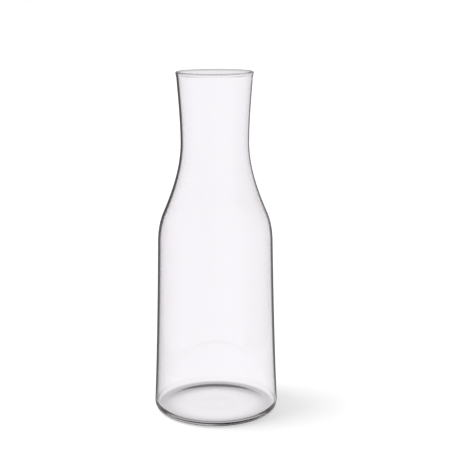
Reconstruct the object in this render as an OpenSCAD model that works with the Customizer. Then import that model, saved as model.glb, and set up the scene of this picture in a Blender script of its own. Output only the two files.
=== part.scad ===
// Plain water carafe, blown in one piece of clear glass: a tapered body, a
// round shoulder, a narrow neck, a slightly flared mouth and a rounded lip.
// Millimetres, +Z up. The origin is the centre of the base, on the table.

/* [Body] */
// Outside diameter at the foot, before its edge is rounded
foot_d = 95.8; // [84:0.2:110]
// Inward lean of the side at the foot, in degrees
foot_lean = 2.8; // [0:0.1:6]
// Height of the tapered body, from the table to the start of the shoulder
body_h = 132; // [90:1:180]

/* [Shoulder] */
// Outside diameter where the shoulder starts
shoulder_d = 87.2; // [80:0.2:98]
// Inward lean of the side where the shoulder starts, in degrees
shoulder_lean = 1.2; // [0:0.1:5]
// Height of the shoulder, up to where its curve turns into the neck
shoulder_h = 23; // [16:1:34]
// Outside diameter where the curve turns
turn_d = 78; // [68:0.2:82]
// Inward lean of the side where the curve turns, in degrees
turn_lean = 23.5; // [15:0.5:32]

/* [Neck] */
// Height of the neck, from the turn to the waist
neck_h = 53; // [38:1:75]
// Outside diameter at the waist, the narrowest place
waist_d = 51.2; // [42:0.2:60]

/* [Mouth] */
// Height of the mouth, from the waist to the top of the lip
mouth_h = 52; // [30:1:80]
// Outside diameter at the top, before the bead of the lip
mouth_d = 57.1; // [50:0.1:68]
// Outward lean of the side at the top, in degrees
mouth_flare = 4.1; // [0:0.1:10]
// How far the bead of the lip stands out from the side
lip_bead = 0.4; // [0:0.1:1.5]
// Height over which the bead swells out of the side
lip_swell_h = 3.4; // [1:0.1:6]

/* [Glass] */
// Thickness of the side wall
wall = 1.6; // [1:0.1:3]
// Thickness of the base at its centre
base_t = 2.44; // [2:0.02:8]

/* [Base] */
// How far the rounded outer edge of the foot reaches inwards
heel_w = 5; // [2:0.05:8]
// How far that rounded edge reaches up the side
heel_h = 5.75; // [2:0.05:10]
// Width of the flat ring that it stands on
foot_ring_w = 3.1; // [1:0.05:8]
// Width of the step that leads from the ring up into the hollow
hollow_step_w = 22.8; // [4:0.1:26]
// Height of that step
hollow_step_h = 0.98; // [0.2:0.01:2]
// Further rise of the hollow under the base, from the step to its centre
hollow_rise = 0.11; // [0:0.01:3]
// Height of the inside floor above the table, at the floor's edge
floor_h = 3.3; // [2:0.02:8]
// How far the rounded corner of the inside floor reaches inwards
corner_w = 2.9; // [1:0.05:14]
// How far that corner reaches up the wall
corner_h = 4.3; // [2:0.05:9]

/* [Hidden] */
$fn = 96;

// Steps along each span of the side, and round each small curve
side_steps = 16;
round_steps = 9;
glass_colour = [0.90, 0.93, 0.93, 0.45];

height = body_h + shoulder_h + neck_h + mouth_h;

// Places that the side passes through: height, outside radius and slope
stations = [
    [0, foot_d / 2, -tan(foot_lean)],
    [body_h, shoulder_d / 2, -tan(shoulder_lean)],
    [body_h + shoulder_h, turn_d / 2, -tan(turn_lean)],
    [body_h + shoulder_h + neck_h, waist_d / 2, 0],
    [height, mouth_d / 2, tan(mouth_flare)]
];

// The lip is as thick as the wall and its bead, and its top is half round
lip_half_t = (wall + lip_bead) / 2;
lip_z = height - lip_half_t;
swell_z = lip_z - lip_swell_h;

// Radius and slope at the share t of a span from station a to station b
function span_r(a, b, t) =
    let (h = b[0] - a[0])
    a[1] * (1 + 2 * t) * (1 - t) ^ 2 + a[2] * h * t * (1 - t) ^ 2
        + b[1] * t ^ 2 * (3 - 2 * t) + b[2] * h * t ^ 2 * (t - 1);
function span_slope(a, b, t) =
    6 * t * (1 - t) * (b[1] - a[1]) / (b[0] - a[0])
        + a[2] * (1 - t) * (1 - 3 * t) + b[2] * t * (3 * t - 2);

// Index of the span that holds height z, and that height's share of it
function span_at(z, i = 0) =
    i < len(stations) - 2 && z > stations[i + 1][0] ? span_at(z, i + 1) : i;
function share_at(z, i) =
    (z - stations[i][0]) / (stations[i + 1][0] - stations[i][0]);

// Outside radius of the plain side, and inside radius one wall behind it
function outer_r(z) =
    let (i = span_at(z))
    span_r(stations[i], stations[i + 1], share_at(z, i));
function outer_slope(z) =
    let (i = span_at(z))
    span_slope(stations[i], stations[i + 1], share_at(z, i));
function inner_r(z) = outer_r(z) - wall * sqrt(1 + outer_slope(z) ^ 2);

// Smooth step from 0 to 1 as the share s runs from 0 to 1
function ease(s) = (1 - cos(180 * s)) / 2;
function bead(z) = lip_bead * ease(max(0, (z - swell_z) / lip_swell_h));

// Heights up the plain side between two limits, evenly spaced in each span
function side_heights(low, high) = [
    for (i = [0 : len(stations) - 2], k = [0 : side_steps - 1])
        let (z = stations[i][0] + (stations[i + 1][0] - stations[i][0]) * k / side_steps)
        if (z > low && z < high) z
];
swell_heights = [for (k = [0 : round_steps]) swell_z + lip_swell_h * k / round_steps];

// Quarter of an ellipse from level up into the side: heights, and how far in
function quarter(level, w, h) = [
    for (k = [0 : round_steps])
        let (a = 90 * k / round_steps)
        [level + h * (1 - cos(a)), w * (1 - sin(a))]
];

// The outline of the glass, first outside and then inside, in order
heel = [for (q = quarter(0, heel_w, heel_h)) [outer_r(q[0]) - q[1], q[0]]];
outside = [for (z = concat(side_heights(heel_h, swell_z), swell_heights)) [outer_r(z) + bead(z), z]];

lip_inner_r = inner_r(lip_z);
lip_outer_r = outer_r(lip_z) + lip_bead;
lip_mid_r = (lip_inner_r + lip_outer_r) / 2;
lip = [
    for (k = [1 : 2 * round_steps - 1])
        let (a = 90 * k / round_steps)
        [lip_mid_r + (lip_outer_r - lip_mid_r) * cos(a), lip_z + lip_half_t * sin(a)]
];

corner = [for (q = quarter(floor_h, corner_w, corner_h)) [inner_r(q[0]) - q[1], q[0]]];
inside_heights = concat(side_heights(floor_h + corner_h, swell_z), swell_heights);
inside = [for (z = inside_heights) [inner_r(z), z]];

// Shallow rise from an edge at radius r and height z0 to z1 on the axis
function dome(r, z0, z1) = [
    for (k = [1 : round_steps]) [r * (1 - k / round_steps), z0 + (z1 - z0) * ease(k / round_steps)]
];
hollow_h = hollow_step_h + hollow_rise;
floor_dome = dome(corner[0][0], floor_h, hollow_h + base_t);
foot_ring_r = heel[0][0] - foot_ring_w;
step_r = foot_ring_r - hollow_step_w;
hollow_step = [
    for (k = [0 : round_steps])
        let (s = k / round_steps)
        [foot_ring_r - hollow_step_w * s, hollow_step_h * s * (2 - s)]
];
hollow = concat(hollow_step, dome(step_r, hollow_step_h, hollow_h));

function reversed(list) = [for (k = [len(list) - 1 : -1 : 0]) list[k]];

module glass_carafe() {
    color(glass_colour)
        rotate_extrude()
            polygon(concat(
                heel, outside, lip, reversed(inside), reversed(corner), floor_dome, reversed(hollow)
            ));
}

glass_carafe();
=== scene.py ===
"""A plain water carafe of clear glass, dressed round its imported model."""

import logging
import math
from dataclasses import dataclass, field

import bmesh
import bpy
from mathutils import Matrix, Vector


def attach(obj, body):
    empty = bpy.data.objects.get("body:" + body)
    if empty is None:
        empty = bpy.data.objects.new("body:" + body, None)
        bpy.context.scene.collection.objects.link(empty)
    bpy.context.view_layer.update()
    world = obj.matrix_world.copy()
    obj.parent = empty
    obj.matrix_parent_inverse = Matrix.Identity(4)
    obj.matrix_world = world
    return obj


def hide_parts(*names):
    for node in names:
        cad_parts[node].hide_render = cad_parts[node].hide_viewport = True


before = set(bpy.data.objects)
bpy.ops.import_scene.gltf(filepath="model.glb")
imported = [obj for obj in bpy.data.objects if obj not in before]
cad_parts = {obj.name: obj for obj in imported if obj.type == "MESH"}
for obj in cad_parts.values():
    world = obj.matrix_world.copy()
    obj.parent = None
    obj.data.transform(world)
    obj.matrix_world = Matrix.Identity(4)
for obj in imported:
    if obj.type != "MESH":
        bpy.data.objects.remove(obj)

log = logging.getLogger("carafe")

Node = bpy.types.Node
Tree = bpy.types.NodeTree
Socket = bpy.types.NodeSocket
Material = bpy.types.Material
Colour = tuple[float, float, float, float]
Tint = tuple[float, float, float]
Outline = list[tuple[float, float]]

# Keeps the level part of a direction, and drops the upright part
LEVEL_ONLY = (1, 1, 0)

# Half a step lies between two whole counts, and tells them apart
HALF_STEP = 0.5


def grey(value: float) -> Colour:
    """Plain grey of a brightness, as a colour."""
    return (value, value, value, 1.0)


def ease(share: float) -> float:
    """Smooth step from 0 to 1, as the share runs from 0 to 1."""
    return (1 - math.cos(math.pi * share)) / 2


class NodeBench:
    """Places and joins the nodes of one tree."""

    def __init__(self, tree: Tree) -> None:
        """Empties the tree that is to be filled."""
        self.tree = tree
        tree.nodes.clear()

    def node(self, kind: str, **settings: object) -> Node:
        """Adds a node.

        Args:
            kind: the node's type, without the prefix ShaderNode.
            settings: attributes of the node, by name.

        Returns:
            The new node.
        """
        made = self.tree.nodes.new("ShaderNode" + kind)
        for name, value in settings.items():
            setattr(made, name, value)
        return made

    def feed(self, socket: Socket, value: object) -> None:
        """Links an output to a socket, or sets the socket to a plain value."""
        if isinstance(value, Socket):
            self.tree.links.new(value, socket)
        else:
            socket.default_value = value

    def maths(self, operation: str, *values: object) -> Socket:
        """Adds a Math node.

        Args:
            operation: what it does, as Blender names it.
            values: outputs or numbers, in the order of its inputs.

        Returns:
            The node's output.
        """
        made = self.node("Math", operation=operation)
        for socket, value in zip(made.inputs, values):
            self.feed(socket, value)
        return made.outputs[0]

    def product(self, first: object, *others: object) -> Socket:
        """Multiplies outputs or numbers, one after the other."""
        result = first
        for other in others:
            result = self.maths("MULTIPLY", result, other)
        return result

    def rest(self, share: object) -> Socket:
        """What is left of 1 when a share is taken away."""
        return self.maths("SUBTRACT", 1.0, share)

    def more_than(self, count: Socket, number: int) -> Socket:
        """1 where a whole count is more than a number, and 0 elsewhere."""
        return self.maths("GREATER_THAN", count, number + HALF_STEP)

    def at_most(self, count: Socket, number: int) -> Socket:
        """1 where a whole count is a number or less, and 0 elsewhere."""
        return self.maths("LESS_THAN", count, number + HALF_STEP)

    def exactly(self, count: Socket, number: int) -> Socket:
        """1 where a whole count is a number, and 0 elsewhere."""
        return self.maths("COMPARE", count, number, HALF_STEP)

    def choose(self, share: object, low: Socket, high: Socket) -> Socket:
        """Adds a Mix Shader node.

        Args:
            share: how much of the second shader shows, from 0 to 1.
            low: the shader at a share of 0.
            high: the shader at a share of 1.

        Returns:
            The mixed shader.
        """
        made = self.node("MixShader")
        for socket, value in zip(made.inputs, (share, low, high)):
            self.feed(socket, value)
        return made.outputs[0]

    def level(self, direction: Socket) -> Socket:
        """Drops the upright part of a direction."""
        made = self.node("VectorMath", operation="MULTIPLY")
        self.feed(made.inputs[0], direction)
        made.inputs[1].default_value = LEVEL_ONLY
        return made.outputs[0]

    def parts(self, vector: Socket) -> Node:
        """Takes a vector apart into its X, Y and Z."""
        made = self.node("SeparateXYZ")
        self.feed(made.inputs[0], vector)
        return made

    def blend(self, share: object, low: object, high: object) -> Socket:
        """Adds a Mix node for colours.

        Args:
            share: how much of the second colour shows, from 0 to 1.
            low: the colour at a share of 0.
            high: the colour at a share of 1.

        Returns:
            The mixed colour.
        """
        made = self.node("Mix", data_type="RGBA")
        for name, value in (("Factor", share), ("A", low), ("B", high)):
            sockets = [s for s in made.inputs if s.name == name and s.enabled]
            self.feed(sockets[0], value)
        return next(s for s in made.outputs if s.enabled)

    def ramp(self, value: object, low: float, high: float, to_low: float = 0.0,
             to_high: float = 1.0) -> Socket:
        """Adds a smooth Map Range node.

        Args:
            value: the output that is mapped.
            low: the value that goes to to_low.
            high: the value that goes to to_high.
            to_low: the least result.
            to_high: the greatest result.

        Returns:
            The mapped value.
        """
        made = self.node("MapRange", interpolation_type="SMOOTHSTEP")
        for name, setting in (("Value", value), ("From Min", low), ("From Max", high),
                              ("To Min", to_low), ("To Max", to_high)):
            self.feed(made.inputs[name], setting)
        return made.outputs["Result"]


@dataclass(frozen=True)
class ClearGlass:
    """Colourless soda-lime glass with the faint ripple of a blown wall.

    Its colour carries painted shade at the glancing edges, inside the mouth
    and on the lip.

    Attributes:
        tint: what a wall lets through, by colour.
        foot_tint: what the base lets through.
        foot_low: height below which the glass has the base's tint, in metres.
        foot_high: height where that tint ends.
        lip_painted_shade: painted shade on the rounded lip, a grey in its colour.
        lip_low: height where the lip's painted shade sets in, in metres.
        lip_high: height above which the lip has its whole painted shade.
        ior: refractive index.
        ripple_size: width of one ripple round the wall, in metres.
        ripple_stretch: how much longer a ripple is than it is wide.
        ripple_depth: height of a ripple, in metres.
        foot_shade: what one surface lets through of a lamp's light at the foot.
        wall_shade: the same higher up, where the glass is thin.
        shade_high: height at which the glass is thin, in metres.
        edge_painted_shade: painted shade, a grey at the glass's glancing edges.
        edge_facing: how far a wall is turned away where the painted shade
            starts, from 0 to 1.
        edge_blend: how far to either side of that the painted shade fades in.
        edge_low: height above which the wall is upright enough for that, in metres.
        edge_high: height where the lip starts to round, in metres.
        edge_fade: height over which the painted shade fades out at both, in metres.
        mouth_painted_shade: painted shade on the inside of the mouth, where
        it is seen over the lip.
        mouth_low: height where that painted shade sets in, in metres.
        mouth_high: height above which it is whole.
    """

    tint: Tint = (0.993, 0.979, 1.0)
    foot_tint: Tint = (0.996, 0.988, 0.998)
    foot_low: float = 0.007
    foot_high: float = 0.012
    lip_painted_shade: Tint = (0.5, 0.49, 0.503)
    lip_low: float = 0.2582
    lip_high: float = 0.2594
    ior: float = 1.52
    ripple_size: float = 0.02
    ripple_stretch: float = 4.0
    ripple_depth: float = 0.0000005
    foot_shade: float = 0.59
    wall_shade: float = 0.906
    shade_high: float = 0.152
    edge_painted_shade: float = 0.12
    edge_facing: float = 0.74
    edge_blend: float = 0.04
    edge_low: float = 0.01
    edge_high: float = 0.256
    edge_fade: float = 0.004
    mouth_painted_shade: float = 0.72
    mouth_low: float = 0.2545
    mouth_high: float = 0.2575

    def material(self, name: str) -> Material:
        """Makes the material.

        Args:
            name: the material's name.

        Returns:
            The material, with lamps shining through it.
        """
        made = bpy.data.materials.new(name)
        made.use_nodes = True
        bench = NodeBench(made.node_tree)
        place = bench.node("TexCoord")
        path = bench.node("LightPath")
        height = bench.parts(place.outputs["Object"]).outputs["Z"]
        glass = bench.node("BsdfPrincipled")
        bench.feed(glass.inputs["Base Color"], self.colour(bench, path, place, height))
        glass.inputs["Roughness"].default_value = 0.0
        glass.inputs["IOR"].default_value = self.ior
        glass.inputs["Transmission Weight"].default_value = 1.0
        bench.feed(glass.inputs["Normal"], self.ripple(bench, place))
        open_way = bench.node("BsdfTransparent")
        shade = bench.ramp(height, 0.0, self.shade_high, self.foot_shade, self.wall_shade)
        bench.feed(open_way.inputs["Color"], shade)
        chosen = bench.choose(path.outputs["Is Shadow Ray"], glass.outputs[0], open_way.outputs[0])
        out = bench.node("OutputMaterial")
        bench.feed(out.inputs["Surface"], chosen)
        return made

    def colour(self, bench: NodeBench, path: Node, place: Node, height: Socket) -> Socket:
        """Gives each stretch of the glass what it lets through, with painted
        shade at the glancing edges, inside the mouth and on the lip.

        Args:
            bench: the material's nodes.
            path: the node that tells how far the light has come.
            place: the node that gives the place on the glass.
            height: the output that gives the height on the glass.

        Returns:
            The colour, from the base to the lip.
        """
        on_foot = bench.ramp(height, self.foot_high, self.foot_low)
        # Painted shade on the lip, blended in over its height
        on_lip = bench.ramp(height, self.lip_low, self.lip_high)
        side = bench.blend(on_foot, (*self.tint, 1), (*self.foot_tint, 1))
        # Painted shade: grey at the wall's glancing edges, where the glass is first met
        side = bench.blend(self.along(bench, path, height), side, grey(self.edge_painted_shade))
        # Painted shade on the inside of the mouth, seen over the lip
        mouth = self.in_mouth(bench, path, place, height)
        side = bench.blend(mouth, side, grey(self.mouth_painted_shade))
        return bench.blend(on_lip, side, (*self.lip_painted_shade, 1))

    def along(self, bench: NodeBench, path: Node, height: Socket) -> Socket:
        """Finds where the wall is seen at a glancing angle, for the painted edge shade.

        Args:
            bench: the material's nodes.
            path: the node that tells how far the light has come.
            height: the output that gives the height on the glass.

        Returns:
            1 at such places, and 0 elsewhere.
        """
        turned = bench.node("LayerWeight")
        start = self.edge_facing - self.edge_blend
        flat = bench.ramp(turned.outputs["Facing"], start, self.edge_facing + self.edge_blend)
        first = bench.at_most(path.outputs["Transmission Depth"], 0)
        low = bench.ramp(height, self.edge_low - self.edge_fade, self.edge_low)
        high = bench.ramp(height, self.edge_high, self.edge_high - self.edge_fade)
        return bench.product(flat, first, low, high)

    def in_mouth(self, bench: NodeBench, path: Node, place: Node, height: Socket) -> Socket:
        """Finds the inside of the mouth, where it is seen over the lip and takes painted shade.

        Args:
            bench: the material's nodes.
            path: the node that tells how far the light has come.
            place: the node that gives the place on the glass.
            height: the output that gives the height on the glass.

        Returns:
            1 at such places, and 0 elsewhere.
        """
        outward = bench.node("VectorMath", operation="DOT_PRODUCT")
        bench.feed(outward.inputs[0], place.outputs["Object"])
        bench.feed(outward.inputs[1], bench.level(place.outputs["Normal"]))
        inside = bench.maths("LESS_THAN", outward.outputs["Value"], 0.0)
        first = bench.at_most(path.outputs["Transmission Depth"], 0)
        near_lip = bench.ramp(height, self.mouth_low, self.mouth_high)
        return bench.product(inside, first, near_lip)

    def ripple(self, bench: NodeBench, place: Node) -> Socket:
        """Adds the faint long ripples that blowing leaves in the wall.

        Args:
            bench: the material's nodes.
            place: the node that gives the place on the glass.

        Returns:
            The normal that they give.
        """
        turn = bench.node("Mapping")
        wide = 1 / self.ripple_size
        turn.inputs["Scale"].default_value = (wide, wide, wide / self.ripple_stretch)
        bench.feed(turn.inputs["Vector"], place.outputs["Object"])
        noise = bench.node("TexNoise")
        noise.inputs["Scale"].default_value = 1.0
        noise.inputs["Detail"].default_value = 1.0
        bench.feed(noise.inputs["Vector"], turn.outputs[0])
        bump = bench.node("Bump")
        bump.inputs["Strength"].default_value = 1.0
        bump.inputs["Distance"].default_value = self.ripple_depth
        bench.feed(bump.inputs["Height"], noise.outputs[0])
        return bump.outputs[0]


@dataclass(frozen=True)
class Station:
    """A place that the side of the carafe passes through.

    Attributes:
        height: above the table, in metres.
        radius: to the outside of the glass, in metres.
        lean: of the side, outward from upright, in degrees.
    """

    height: float
    radius: float
    lean: float

    @property
    def slope(self) -> float:
        """Growth of the radius with height."""
        return math.tan(math.radians(self.lean))


@dataclass
class GlassCarafe:
    """The one piece of glass: base, body, shoulder, neck, mouth and lip.

    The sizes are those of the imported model, in metres.

    Attributes:
        foot: the side where it meets the table, before its edge is rounded.
        shoulder: the side where the shoulder starts.
        turn: the side where the curve of the shoulder turns into the neck.
        waist: the narrowest place of the neck.
        mouth: the top, before the bead of the lip.
        lip_bead: how far the bead of the lip stands out.
        lip_swell_h: height over which the bead swells out of the side.
        wall: thickness of the wall.
        base_t: thickness of the base at its centre.
        heel_w: how far the rounded edge of the foot reaches inwards.
        heel_h: how far it reaches up the side.
        foot_ring_w: width of the flat ring that it stands on.
        hollow_step_w: width of the step from the ring into the hollow.
        hollow_step_h: height of that step.
        hollow_rise: further rise of the hollow to its centre.
        floor_h: height of the inside floor at its edge.
        corner_w: how far the inside corner reaches inwards.
        corner_h: how far it reaches up the wall.
        side_steps: steps up each span of the side.
        round_steps: steps along each small curve.
        turns: steps round the axis.
        merge_gap: points that are closer than this become one.
        finish: the glass that it is made of.
    """

    foot: Station = Station(0.0, 0.0479, -2.8)
    shoulder: Station = Station(0.132, 0.0436, -1.2)
    turn: Station = Station(0.155, 0.039, -23.5)
    waist: Station = Station(0.208, 0.0256, 0.0)
    mouth: Station = Station(0.260, 0.02855, 4.1)
    lip_bead: float = 0.0004
    lip_swell_h: float = 0.0034
    wall: float = 0.0016
    base_t: float = 0.00244
    heel_w: float = 0.005
    heel_h: float = 0.00575
    foot_ring_w: float = 0.0031
    hollow_step_w: float = 0.0228
    hollow_step_h: float = 0.00098
    hollow_rise: float = 0.00011
    floor_h: float = 0.0033
    corner_w: float = 0.0029
    corner_h: float = 0.0043
    side_steps: int = 24
    round_steps: int = 12
    turns: int = 240
    merge_gap: float = 1e-7
    finish: ClearGlass = field(default_factory=ClearGlass)

    @property
    def stations(self) -> list[Station]:
        """The places that the side passes through, from the foot up."""
        return [self.foot, self.shoulder, self.turn, self.waist, self.mouth]

    def span(self, height: float) -> tuple[Station, Station]:
        """Finds the stations below and above a height."""
        pairs = list(zip(self.stations, self.stations[1:]))
        return next((p for p in pairs if height <= p[1].height), pairs[-1])

    def outer(self, height: float) -> float:
        """Outside radius of the plain side at a height."""
        a, b = self.span(height)
        h = b.height - a.height
        t = (height - a.height) / h
        low = a.radius * (1 + 2 * t) * (1 - t) ** 2 + a.slope * h * t * (1 - t) ** 2
        return low + b.radius * t ** 2 * (3 - 2 * t) + b.slope * h * t ** 2 * (t - 1)

    def slope(self, height: float) -> float:
        """Growth of the outside radius with height, at a height."""
        a, b = self.span(height)
        h = b.height - a.height
        t = (height - a.height) / h
        bow = 6 * t * (1 - t) * (b.radius - a.radius) / h
        return bow + a.slope * (1 - t) * (1 - 3 * t) + b.slope * t * (3 * t - 2)

    def inner(self, height: float) -> float:
        """Inside radius at a height, one wall behind the outside."""
        return self.outer(height) - self.wall * math.hypot(1, self.slope(height))

    def quarter(self, level: float, width: float, rise: float) -> Outline:
        """Quarter of an ellipse from a level up into the side.

        Args:
            level: height of the flat that the curve leaves.
            width: how far in from the side the curve reaches.
            rise: how far up the side it reaches.

        Returns:
            Heights, each with how far the curve stands in from the side.
        """
        angles = [math.pi / 2 * k / self.round_steps for k in range(self.round_steps + 1)]
        return [(level + rise * (1 - math.cos(a)), width * (1 - math.sin(a))) for a in angles]

    def dome(self, radius: float, edge: float, middle: float) -> Outline:
        """Shallow rise from an edge to the axis.

        Args:
            radius: radius of the edge.
            edge: height at the edge.
            middle: height on the axis.

        Returns:
            Points from the edge inwards, without the edge itself.
        """
        shares = [k / self.round_steps for k in range(1, self.round_steps + 1)]
        return [(radius * (1 - s), edge + (middle - edge) * ease(s)) for s in shares]

    def side_heights(self, low: float, high: float) -> list[float]:
        """Heights up the plain side between two limits, evenly spaced in each span."""
        heights = []
        for a, b in zip(self.stations, self.stations[1:]):
            step = (b.height - a.height) / self.side_steps
            heights += [a.height + step * k for k in range(self.side_steps)]
        return [z for z in heights if low < z < high]

    def outline(self) -> Outline:
        """Works out the section of the glass.

        Returns:
            Radius and height of each point, from the axis under the base, up
            the outside, over the lip and down the inside to the axis again.
        """
        lip_half = (self.wall + self.lip_bead) / 2
        lip_z = self.mouth.height - lip_half
        swell_z = lip_z - self.lip_swell_h
        shares = [k / self.round_steps for k in range(self.round_steps + 1)]
        swell = [swell_z + self.lip_swell_h * s for s in shares]
        heel_curve = self.quarter(0.0, self.heel_w, self.heel_h)
        heel = [(self.outer(z) - inset, z) for z, inset in heel_curve]
        ring_r = heel[0][0] - self.foot_ring_w
        step_r = ring_r - self.hollow_step_w
        step = [(ring_r - self.hollow_step_w * s, self.hollow_step_h * s * (2 - s)) for s in shares]
        hollow_h = self.hollow_step_h + self.hollow_rise
        hollow = step + self.dome(step_r, self.hollow_step_h, hollow_h)
        outside = []
        for z in self.side_heights(self.heel_h, swell_z) + swell:
            bead = self.lip_bead * ease(max(0.0, (z - swell_z) / self.lip_swell_h))
            outside.append((self.outer(z) + bead, z))
        lip_in = self.inner(lip_z)
        lip_out = self.outer(lip_z) + self.lip_bead
        middle = (lip_in + lip_out) / 2
        lip = []
        for k in range(1, 2 * self.round_steps):
            a = math.pi / 2 * k / self.round_steps
            lip.append((middle + (lip_out - middle) * math.cos(a), lip_z + lip_half * math.sin(a)))
        plain = self.side_heights(self.floor_h + self.corner_h, swell_z)
        inside = [(self.inner(z), z) for z in plain + swell]
        corner_curve = self.quarter(self.floor_h, self.corner_w, self.corner_h)
        corner = [(self.inner(z) - inset, z) for z, inset in corner_curve]
        floor = self.dome(corner[0][0], self.floor_h, hollow_h + self.base_t)
        return hollow[::-1] + heel + outside + lip + inside[::-1] + corner[::-1] + floor

    def build(self) -> bpy.types.Object:
        """Spins the section into the finished glass and dresses it.

        Returns:
            The glass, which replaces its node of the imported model.
        """
        bm = bmesh.new()
        points = [bm.verts.new((r, 0, z)) for r, z in self.outline()]
        edges = [bm.edges.new(pair) for pair in zip(points, points[1:])]
        bmesh.ops.spin(bm, geom=points + edges, cent=(0, 0, 0), axis=(0, 0, 1), dvec=(0, 0, 0),
                       angle=2 * math.pi, steps=self.turns, use_merge=True, use_duplicate=False)
        bmesh.ops.remove_doubles(bm, verts=bm.verts, dist=self.merge_gap)
        bmesh.ops.recalc_face_normals(bm, faces=bm.faces)
        for face in bm.faces:
            face.smooth = True
        mesh = bpy.data.meshes.new("clear_glass_vessel")
        bm.to_mesh(mesh)
        bm.free()
        glass = bpy.data.objects.new("clear_glass_vessel", mesh)
        bpy.context.scene.collection.objects.link(glass)
        mesh.materials.append(self.finish.material("clear_glass"))
        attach(glass, "root")
        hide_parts("glass_carafe")
        return glass


@dataclass(frozen=True)
class SoftLight:
    """A soft even light from far off.

    Attributes:
        light: how bright it alone makes the floor.
        softness: angle that it takes up in the sky, in degrees.
        height: angle above the floor, in degrees.
        bearing: where it comes from, in degrees from the camera's side round
            to the right.
    """

    light: float
    softness: float
    height: float
    bearing: float

    def hang(self, name: str, albedo: float) -> None:
        """Hangs the light, so that the glass neither shows nor mirrors it.

        Args:
            name: the light's name.
            albedo: share of the light that the floor gives back.
        """
        data = bpy.data.lights.new(name, "SUN")
        data.angle = math.radians(self.softness)
        height = math.radians(self.height)
        bearing = math.radians(self.bearing)
        data.energy = self.light * math.pi / albedo / math.sin(height)
        lamp = bpy.data.objects.new(name, data)
        bpy.context.scene.collection.objects.link(lamp)
        reach = math.cos(height)
        back = Vector((math.sin(bearing) * reach, -math.cos(bearing) * reach, math.sin(height)))
        lamp.rotation_euler = back.to_track_quat("Z", "Y").to_euler()
        lamp.visible_glossy = False
        lamp.visible_transmission = False


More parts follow.
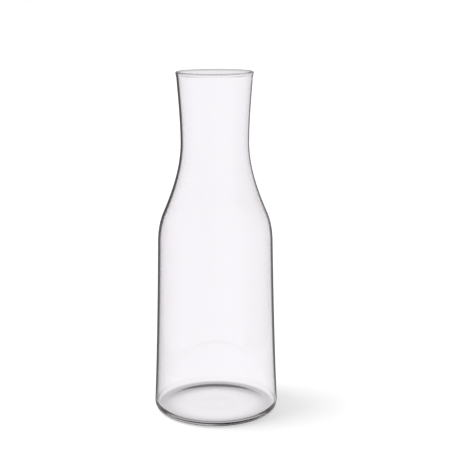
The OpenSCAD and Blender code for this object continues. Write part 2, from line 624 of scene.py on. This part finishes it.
@dataclass
class Studio:
    """Pale floor, white background and soft light.

    What the camera sees straight, or through the glass, is white, but for a
    painted shadow ring on the floor under the foot. What the glass mirrors is
    a room that is bright overhead and in front of the object, and dark low
    down behind it, where the edges of the glass look; there the floor has a
    painted shadow ring beside the foot. Brightness is 1 where a place is white.

    Attributes:
        floor_r: radius of the floor, in metres.
        floor_drop: how far the floor lies below the foot, in metres.
        floor_sides: sides of the floor's outline.
        floor_albedo: share of the light that the floor gives back.
        floor_glow: light that the floor gives by itself, to stay white.
        sky_light: light that falls on the floor from all round.
        key: the lamp that throws the shadow to the right.
        fill: the lamp that throws the fringe of shadow in front.
        overhead: brightness of the room overhead.
        overhead_high: sine of the height angle above which it is that bright.
        in_front: brightness of the room on the camera's side.
        front_start: Y of a level direction where that side starts.
        front_full: Y of a level direction where it is whole.
        left: brightness of the room on the left.
        right: brightness of the room on the right.
        side_blend: how far to either side of the middle the two mix.
        behind: brightness of the dark low down behind the object.
        behind_angle: how far the dark reaches to the right, in degrees.
        behind_blend: angle over which it starts, in degrees.
        behind_angle_left: how far it reaches to the left, far off, in degrees.
        behind_half_w: half the dark's width on the floor, in metres.
        wall_around_left: what the inside of the wall mirrors on the left,
            outside the dark.
        wall_around_right: the same on the right.
        wall_left: what it mirrors on the left, from the floor near by.
        wall_left_far: the same from far off.
        wall_right: what it mirrors on the right, from the floor near by.
        wall_right_far: the same from far off.
        room_tint: tint of all that is mirrored.
        trapped: brightness of light that is mirrored again and again inside.
        near_r: radius within which the floor counts as near by, in metres.
        far_r: radius from which it counts as far off, in metres.
        painted_foot_shadow: painted shadow, how much darker the floor is under
        the foot, seen through the glass.
        foot_dark_r: radius of that dark ring, in metres.
        foot_dark_in: width over which it fades inwards, in metres.
        foot_dark_out: width over which it fades outwards, in metres.
        painted_mirrored_shadow: painted shadow, how much darker the floor beside the foot is, when
            mirrored.
        low_dark_r: radius of that dark ring, in metres.
        low_dark_in: width over which it fades inwards, in metres.
        low_dark_out: width over which it fades outwards, in metres.
    """

    floor_r: float = 8.0
    floor_drop: float = 0.0002
    floor_sides: int = 96
    floor_albedo: float = 0.85
    floor_glow: float = 0.41
    sky_light: float = 0.2
    key: SoftLight = SoftLight(0.44, 42.0, 55.5, -91.0)
    fill: SoftLight = SoftLight(0.13, 40.0, 71.0, 165.0)
    overhead: float = 0.68
    overhead_high: float = 0.15
    in_front: float = 0.8
    front_start: float = 0.1
    front_full: float = -0.7
    left: float = 0.42
    right: float = 0.9
    side_blend: float = 0.1
    behind: float = 0.18
    behind_angle: float = 37.0
    behind_blend: float = 4.0
    behind_angle_left: float = 38.0
    behind_half_w: float = 0.045
    wall_around_left: float = 0.65
    wall_around_right: float = 0.9
    wall_left: float = 0.26
    wall_left_far: float = 0.08
    wall_right: float = 0.36
    wall_right_far: float = 0.7
    room_tint: Tint = (1.0, 0.965, 0.985)
    trapped: float = 0.05
    near_r: float = 0.4
    far_r: float = 1.6
    painted_foot_shadow: float = 0.408
    foot_dark_r: float = 0.0432
    foot_dark_in: float = 0.01
    foot_dark_out: float = 0.003
    painted_mirrored_shadow: float = 0.66
    low_dark_r: float = 0.0467
    low_dark_in: float = 0.004
    low_dark_out: float = 0.003

    def shade(self, brightness: float) -> Colour:
        """Tint of the room at a brightness, as a colour."""
        red, green, blue = self.room_tint
        return (brightness * red, brightness * green, brightness * blue, 1.0)

    def room_group(self) -> Tree:
        """Makes the group that gives what a mirrored ray meets.

        Returns:
            The group, with the direction or place that the ray reaches, how
            far off and how high that is, and how often it was mirrored and
            let through on the way.
        """
        group = bpy.data.node_groups.new("mirrored_room", "ShaderNodeTree")
        inlets = (("Direction", "Vector"), ("Far", "Float"), ("High", "Float"),
                  ("Mirrored", "Float"), ("Let Through", "Float"))
        for name, kind in inlets:
            group.interface.new_socket(name, in_out="INPUT", socket_type="NodeSocket" + kind)
        group.interface.new_socket("Brightness", in_out="OUTPUT", socket_type="NodeSocketColor")
        bench = NodeBench(group)
        inlet = group.nodes.new("NodeGroupInput")
        outlet = group.nodes.new("NodeGroupOutput")
        unit = bench.node("VectorMath", operation="NORMALIZE")
        bench.feed(unit.inputs[0], bench.level(inlet.outputs["Direction"]))
        facing = bench.parts(unit.outputs[0])
        far = inlet.outputs["Far"]
        let_through = inlet.outputs["Let Through"]
        across = bench.ramp(facing.outputs["X"], -self.side_blend, self.side_blend)
        behind = self.dark_behind(bench, facing.outputs["Y"], across, far)
        wall = bench.blend(behind, self.beside_dark(bench, across), self.on_wall(bench, across, far))
        sides = bench.blend(across, self.shade(self.left), self.shade(self.right))
        front = bench.ramp(facing.outputs["Y"], self.front_start, self.front_full)
        low = bench.blend(front, sides, self.shade(self.in_front))
        off_outside = bench.product(behind, bench.at_most(let_through, 0))
        low = bench.blend(off_outside, low, self.shade(self.behind))
        room = bench.blend(inlet.outputs["High"], low, self.shade(self.overhead))
        again = bench.more_than(inlet.outputs["Mirrored"], 1)
        caught = bench.product(bench.more_than(let_through, 2), again)
        room = bench.blend(caught, room, self.shade(self.trapped))
        off_wall = bench.exactly(let_through, 2)
        bench.feed(outlet.inputs[0], bench.blend(off_wall, room, wall))
        return group

    def dark_behind(self, bench: NodeBench, back: Socket, across: Socket, far: Socket) -> Socket:
        """Finds the dark behind the object.

        Args:
            bench: the group's nodes.
            back: the Y of the level direction.
            across: the share of the right side.
            far: how far off the place is, from 0 to 1.

        Returns:
            1 in the dark, and 0 outside it.
        """
        edge = math.cos(math.radians(self.behind_angle))
        inner = math.cos(math.radians(self.behind_angle - self.behind_blend))
        wider = edge - math.cos(math.radians(self.behind_angle_left))
        on_left = bench.ramp(across, 1.0, 0.0, 0.0, wider)
        reached = bench.maths("ADD", back, bench.product(on_left, far))
        return bench.ramp(reached, edge, inner)

    def beside_dark(self, bench: NodeBench, across: Socket) -> Socket:
        """Gives what the inside of the wall mirrors outside the dark."""
        left = self.shade(self.wall_around_left)
        return bench.blend(across, left, self.shade(self.wall_around_right))

    def on_wall(self, bench: NodeBench, across: Socket, far: Socket) -> Socket:
        """Gives what the inside of the wall mirrors in the dark."""
        left = bench.blend(far, self.shade(self.wall_left), self.shade(self.wall_left_far))
        right = bench.blend(far, self.shade(self.wall_right), self.shade(self.wall_right_far))
        return bench.blend(across, left, right)

    def mirrored(self, bench: NodeBench, room: Tree, direction: Socket, far: object,
                 high: object) -> tuple[Socket, Socket]:
        """Places the room's group in a material.

        Args:
            bench: the material's nodes.
            room: the group.
            direction: the direction or place that the ray reaches.
            far: how far off that is, from 0 to 1.
            high: how high up that is, from 0 to 1.

        Returns:
            The brightness, and 1 where the ray was mirrored on its way.
        """
        path = bench.node("LightPath")
        made = bench.node("Group", node_tree=room)
        bench.feed(made.inputs["Direction"], direction)
        bench.feed(made.inputs["Far"], far)
        bench.feed(made.inputs["High"], high)
        bench.feed(made.inputs["Mirrored"], path.outputs["Glossy Depth"])
        bench.feed(made.inputs["Let Through"], path.outputs["Transmission Depth"])
        return made.outputs[0], bench.more_than(path.outputs["Glossy Depth"], 0)

    def make_world(self, room: Tree) -> None:
        """Makes the white background and the light from all round.

        Args:
            room: the group that gives the brightness of the room.
        """
        world = bpy.data.worlds.new("studio")
        bpy.context.scene.world = world
        world.use_nodes = True
        world.cycles.sampling_method = "NONE"
        bench = NodeBench(world.node_tree)
        path = bench.node("LightPath")
        direction = bench.node("TexCoord").outputs["Generated"]
        high = bench.ramp(bench.parts(direction).outputs["Z"], 0.0, self.overhead_high)
        brightness, is_mirrored = self.mirrored(bench, room, direction, 1.0, high)
        lit = bench.more_than(path.outputs["Diffuse Depth"], 0)
        seen = bench.blend(is_mirrored, grey(1.0), brightness)
        shown = bench.blend(lit, seen, grey(self.sky_light))
        back = bench.node("Background")
        bench.feed(back.inputs["Color"], shown)
        out = bench.node("OutputWorld")
        bench.feed(out.inputs["Surface"], back.outputs[0])

    def make_floor(self, room: Tree) -> bpy.types.Object:
        """Makes the white floor, which keeps the object's shadow.

        Args:
            room: the group that gives the brightness of the room.

        Returns:
            The floor.
        """
        bm = bmesh.new()
        bmesh.ops.create_circle(bm, cap_ends=True, radius=self.floor_r, segments=self.floor_sides,
                                matrix=Matrix.Translation((0, 0, -self.floor_drop)))
        mesh = bpy.data.meshes.new("floor")
        bm.to_mesh(mesh)
        bm.free()
        floor = bpy.data.objects.new("floor", mesh)
        bpy.context.scene.collection.objects.link(floor)
        mesh.materials.append(self.floor_material(room))
        return floor

    def floor_material(self, room: Tree) -> Material:
        """Makes the floor's material.

        Args:
            room: the group that gives the brightness of the room.

        Returns:
            The material: lit floor where it is seen straight, clear white
            through the glass, and part of the room where it is mirrored.
        """
        made = bpy.data.materials.new("white_floor")
        made.use_nodes = True
        bench = NodeBench(made.node_tree)
        path = bench.node("LightPath")
        place = bench.node("TexCoord")
        distance = bench.node("VectorMath", operation="LENGTH")
        bench.feed(distance.inputs[0], place.outputs["Object"])
        reach = distance.outputs["Value"]
        far = bench.ramp(reach, self.near_r, self.far_r)
        brightness, is_mirrored = self.mirrored(bench, room, self.off_sides(bench, place), far, 0.0)
        through = bench.more_than(path.outputs["Transmission Depth"], 0)
        direct = bench.at_most(path.outputs["Diffuse Depth"], 0)
        by_glass = bench.product(through, direct)
        view = bench.choose(by_glass, self.lit(bench, path), self.clear(bench, reach))
        mirrored = self.in_mirror(bench, path, reach, brightness)
        out = bench.node("OutputMaterial")
        bench.feed(out.inputs["Surface"], bench.choose(is_mirrored, view, mirrored))
        return made

    def lit(self, bench: NodeBench, path: Node) -> Socket:
        """Makes the floor that takes light and shadow, and glows to stay white.

        Args:
            bench: the floor's nodes.
            path: the node that tells how the light came.

        Returns:
            The shader.
        """
        matt = bench.node("BsdfDiffuse")
        matt.inputs["Color"].default_value = grey(self.floor_albedo)
        bounced = bench.more_than(path.outputs["Diffuse Depth"], 0)
        glow = bench.node("Emission")
        bench.feed(glow.inputs["Strength"], bench.ramp(bounced, 0.0, 1.0, self.floor_glow, 0.0))
        both = bench.node("AddShader")
        bench.feed(both.inputs[0], matt.outputs[0])
        bench.feed(both.inputs[1], glow.outputs[0])
        return both.outputs[0]

    def clear(self, bench: NodeBench, reach: Socket) -> Socket:
        """Makes the floor as it is seen through the glass, with a painted shadow ring under the
        foot.

        Args:
            bench: the floor's nodes.
            reach: distance from the axis.

        Returns:
            The shader.
        """
        # Painted shadow: a dark ring on the floor under the foot, seen through the glass
        under = self.ring(bench, reach, self.foot_dark_r, self.foot_dark_in, self.foot_dark_out)
        white = bench.node("Emission")
        bench.feed(white.inputs["Strength"], bench.rest(bench.product(under, self.painted_foot_shadow)))
        return white.outputs[0]

    def in_mirror(self, bench: NodeBench, path: Node, reach: Socket, brightness: Socket) -> Socket:
        """Makes the floor as the glass mirrors it, with a painted shadow ring beside the foot.

        Light that went through more than one wall meets plain white under the
        base, and doesn't show the painted shadow ring.

        Args:
            bench: the floor's nodes.
            path: the node that tells how the light came.
            reach: distance from the axis.
            brightness: what the room gives there.

        Returns:
            The shader.
        """
        deep = bench.more_than(path.outputs["Transmission Depth"], 2)
        under = bench.ramp(reach, self.foot_dark_r, self.foot_dark_r - self.low_dark_in)
        once = bench.at_most(path.outputs["Glossy Depth"], 1)
        # Painted shadow: a dark ring on the floor beside the foot, seen mirrored
        beside = self.ring(bench, reach, self.low_dark_r, self.low_dark_in, self.low_dark_out)
        ring = bench.product(beside, bench.rest(deep), self.painted_mirrored_shadow)
        dim = bench.node("Emission")
        white = bench.product(under, once, deep)
        bench.feed(dim.inputs["Color"], bench.blend(white, brightness, self.shade(1.0)))
        bench.feed(dim.inputs["Strength"], bench.rest(ring))
        return dim.outputs[0]

    def ring(self, bench: NodeBench, reach: Socket, radius: float, inward: float,
             outward: float) -> Socket:
        """Adds a soft ring round the foot, for the painted shadows.

        Args:
            bench: the floor's nodes.
            reach: distance from the axis.
            radius: where the ring is strongest.
            inward: width over which it fades towards the axis.
            outward: width over which it fades away from it.

        Returns:
            The ring's strength, from 0 to 1.
        """
        off = bench.maths("SUBTRACT", reach, radius)
        inside = bench.maths("DIVIDE", off, -inward)
        outside = bench.maths("DIVIDE", off, outward)
        share = bench.maths("MAXIMUM", inside, outside)
        return bench.maths("EXPONENT", bench.product(share, share, -1.0))

    def off_sides(self, bench: NodeBench, place: Node) -> Socket:
        """Measures a place on the floor from the nearer side of the dark behind.

        Args:
            bench: the floor's nodes.
            place: the node that gives the place on the floor.

        Returns:
            The place, drawn in towards the middle by half the dark's width.
        """
        parts = bench.parts(place.outputs["Object"])
        across = parts.outputs["X"]
        past = bench.maths("SUBTRACT", bench.maths("ABSOLUTE", across), self.behind_half_w)
        past = bench.maths("MAXIMUM", past, 0.0)
        joined = bench.node("CombineXYZ")
        bench.feed(joined.inputs["X"], bench.product(past, bench.maths("SIGN", across)))
        bench.feed(joined.inputs["Y"], parts.outputs["Y"])
        return joined.outputs[0]

    def build(self) -> None:
        """Makes the whole studio."""
        room = self.room_group()
        self.make_world(room)
        self.make_floor(room)
        self.key.hang("key", self.floor_albedo)
        self.fill.hang("fill", self.floor_albedo)
        settings = bpy.context.scene.view_settings
        settings.view_transform = "Standard"


@dataclass
class PhotoCamera:
    """The camera at the photograph's place, found from the rim and the base.

    Attributes:
        distance: from the carafe's axis, along the floor, in metres.
        height: above the floor, in metres.
        pitch: down tilt, in degrees.
        roll: turn about the line of sight, in degrees.
        focal_px: focal length in pixels of the photograph.
        axis_px: where the carafe's axis crosses the photograph's middle row.
        frame_px: width of the photograph, in pixels.
        sensor_mm: width of the camera's sensor, in millimetres.
    """

    distance: float = 0.783
    height: float = 0.313
    pitch: float = 12.158
    roll: float = -0.27
    focal_px: float = 1055.8
    axis_px: float = 215.25
    frame_px: float = 450.0
    sensor_mm: float = 36.0

    def build(self) -> bpy.types.Object:
        """Makes the camera.

        Returns:
            The scene's camera.
        """
        data = bpy.data.cameras.new("photo_camera")
        data.sensor_width = self.sensor_mm
        data.lens = self.focal_px / self.frame_px * self.sensor_mm
        data.shift_x = (self.frame_px / 2 - self.axis_px) / self.frame_px
        camera = bpy.data.objects.new("photo_camera", data)
        bpy.context.scene.collection.objects.link(camera)
        camera.location = (0, -self.distance, self.height)
        tilt = Matrix.Rotation(math.radians(90 - self.pitch), 3, "X")
        turn = Matrix.Rotation(math.radians(self.roll), 3, "Z")
        camera.rotation_euler = (tilt @ turn).to_euler()
        bpy.context.scene.camera = camera
        return camera


def main() -> None:
    """Builds the camera, the studio and the carafe."""
    logging.basicConfig(level=logging.INFO, format="%(name)s: %(message)s")
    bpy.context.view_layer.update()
    PhotoCamera().build()
    Studio().build()
    glass = GlassCarafe().build()
    log.info("%s: %d faces", glass.name, len(glass.data.polygons))


if __name__ == "__main__":
    main()
